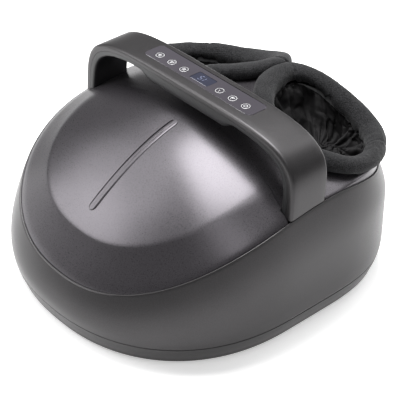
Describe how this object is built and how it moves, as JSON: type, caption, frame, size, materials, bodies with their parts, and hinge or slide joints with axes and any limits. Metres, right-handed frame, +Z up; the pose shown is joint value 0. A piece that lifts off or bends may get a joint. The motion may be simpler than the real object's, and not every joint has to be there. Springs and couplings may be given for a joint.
{
  "type": "foot massager",
  "caption": "Floor foot massager with a domed cover, a bridge handle carrying a key panel, and two padded fabric openings that lead to kneading chambers.",
  "frame": {"origin": "on the floor under the middle of the machine", "axes": "+X to the right seen from the toe end, +Y from the toes towards the user's legs, +Z up"},
  "size_m": [0.395, 0.4214, 0.2362],
  "materials": {
    "shell_grey": "satin metallic grey",
    "cover_grey": "satin metallic grey, a little lighter",
    "black_plastic": "matte",
    "panel_gloss": "glossy",
    "key_gloss": "glossy with a white ring",
    "display_dark": "glossy dark blue",
    "cuff_knit": "charcoal knit",
    "lining_nylon": "black woven nylon with a soft sheen",
    "well_grey": "matte",
    "gear_white": "matte",
    "bare_steel": "bare",
    "foot_rubber": "matte",
    "circuit_green": "satin",
    "heater_film": "satin",
    "bag_film": "satin"
  },
  "bodies": {
    "housing": {"air_pump": "well_grey", "airbag_left": "bag_film", "airbag_right": "bag_film", "base_screw_left_front": "bare_steel", "base_screw_left_rear": "bare_steel", "base_screw_right_front": "bare_steel", "base_screw_right_rear": "bare_steel", "base_tray": "shell_grey", "control_board": "circuit_green", "control_panel": "panel_gloss", "cover_strip": "cover_grey", "cuff_left": "cuff_knit", "cuff_right": "cuff_knit", "dc_inlet": "black_plastic", "display_window": "display_dark", "drive_motor_left": "bare_steel", "drive_motor_right": "bare_steel", "foot_well_left": "well_grey", "foot_well_right": "well_grey", "front_cover": "cover_grey", "gear_tray_left": "well_grey", "gear_tray_right": "well_grey", "handle_lower": "black_plastic", "handle_screw_left": "bare_steel", "handle_screw_right": "bare_steel", "handle_upper": "shell_grey", "heater_pad_left": "heater_film", "heater_pad_right": "heater_film", "lining_left": "lining_nylon", "lining_right": "lining_nylon", "lower_shell": "shell_grey", "main_board": "circuit_green", "rear_deck": "cover_grey", "rubber_foot_left_front": "foot_rubber", "rubber_foot_left_rear": "foot_rubber", "rubber_foot_right_front": "foot_rubber", "rubber_foot_right_rear": "foot_rubber", "valve_block": "black_plastic"},
    "key_power_body": {"key_power": "key_gloss"},
    "key_mode_body": {"key_mode": "key_gloss"},
    "key_heat_body": {"key_heat": "key_gloss"},
    "key_timer_body": {"key_timer": "key_gloss"},
    "key_level_body": {"key_level": "key_gloss"},
    "key_air_body": {"key_air": "key_gloss"},
    "right_drive": {"drive_pinion_right": "gear_white"},
    "right_worm": {"motor_worm_right": "bare_steel"},
    "right_front_disc": {"disc_gear_right_front": "gear_white", "kneading_disc_right_front": "gear_white"},
    "right_rear_disc": {"disc_gear_right_rear": "gear_white", "kneading_disc_right_rear": "gear_white"},
    "left_drive": {"drive_pinion_left": "gear_white"},
    "left_worm": {"motor_worm_left": "bare_steel"},
    "left_front_disc": {"disc_gear_left_front": "gear_white", "kneading_disc_left_front": "gear_white"},
    "left_rear_disc": {"disc_gear_left_rear": "gear_white", "kneading_disc_left_rear": "gear_white"}
  },
  "joints": [
    {"name": "key_air_press", "type": "slide", "parent": "housing", "child": "key_air_body", "axis": [0, 0, -1], "range_m": [0, 0.0007], "stiffness_N_per_m": 300, "springref_m": -0.0005},
    {"name": "key_mode_press", "type": "slide", "parent": "housing", "child": "key_mode_body", "axis": [0, 0, -1], "range_m": [0, 0.0007], "stiffness_N_per_m": 300, "springref_m": -0.0005},
    {"name": "key_heat_press", "type": "slide", "parent": "housing", "child": "key_heat_body", "axis": [0, 0, -1], "range_m": [0, 0.0007], "stiffness_N_per_m": 300, "springref_m": -0.0005},
    {"name": "key_timer_press", "type": "slide", "parent": "housing", "child": "key_timer_body", "axis": [0, 0, -1], "range_m": [0, 0.0007], "stiffness_N_per_m": 300, "springref_m": -0.0005},
    {"name": "key_level_press", "type": "slide", "parent": "housing", "child": "key_level_body", "axis": [0, 0, -1], "range_m": [0, 0.0007], "stiffness_N_per_m": 300, "springref_m": -0.0005},
    {"name": "key_power_press", "type": "slide", "parent": "housing", "child": "key_power_body", "axis": [0, 0, -1], "range_m": [0, 0.0007], "stiffness_N_per_m": 300, "springref_m": -0.0005},
    {"name": "right_drive_turn", "type": "hinge", "parent": "housing", "child": "right_drive", "pos_m": [0.087, -0.01, 0.0197], "axis": [0, 0, 1], "continuous": true},
    {"name": "right_front_disc_turn", "type": "hinge", "parent": "housing", "child": "right_front_disc", "pos_m": [0.087, -0.0415, 0.036], "axis": [0, 0, 1], "continuous": true},
    {"name": "right_rear_disc_turn", "type": "hinge", "parent": "housing", "child": "right_rear_disc", "pos_m": [0.087, 0.0215, 0.036], "axis": [0, 0, 1], "continuous": true},
    {"name": "right_worm_turn", "type": "hinge", "parent": "housing", "child": "right_worm", "pos_m": [0.1025, -0.01, 0.0222], "axis": [0, 1, 0], "continuous": true},
    {"name": "left_drive_turn", "type": "hinge", "parent": "housing", "child": "left_drive", "pos_m": [-0.087, -0.01, 0.0197], "axis": [0, 0, 1], "continuous": true},
    {"name": "left_front_disc_turn", "type": "hinge", "parent": "housing", "child": "left_front_disc", "pos_m": [-0.087, -0.0415, 0.036], "axis": [0, 0, 1], "continuous": true},
    {"name": "left_rear_disc_turn", "type": "hinge", "parent": "housing", "child": "left_rear_disc", "pos_m": [-0.087, 0.0215, 0.036], "axis": [0, 0, 1], "continuous": true},
    {"name": "left_worm_turn", "type": "hinge", "parent": "housing", "child": "left_worm", "pos_m": [-0.1025, -0.01, 0.0222], "axis": [0, 1, 0], "continuous": true}
  ],
  "couplings": [
    {"joint": "right_front_disc_turn", "follows": "right_drive_turn", "ratio": -0.4},
    {"joint": "right_rear_disc_turn", "follows": "right_drive_turn", "ratio": -0.4},
    {"joint": "right_worm_turn", "follows": "right_drive_turn", "ratio": -20},
    {"joint": "left_front_disc_turn", "follows": "left_drive_turn", "ratio": -0.4},
    {"joint": "left_rear_disc_turn", "follows": "left_drive_turn", "ratio": -0.4},
    {"joint": "left_worm_turn", "follows": "left_drive_turn", "ratio": -20}
  ]
}
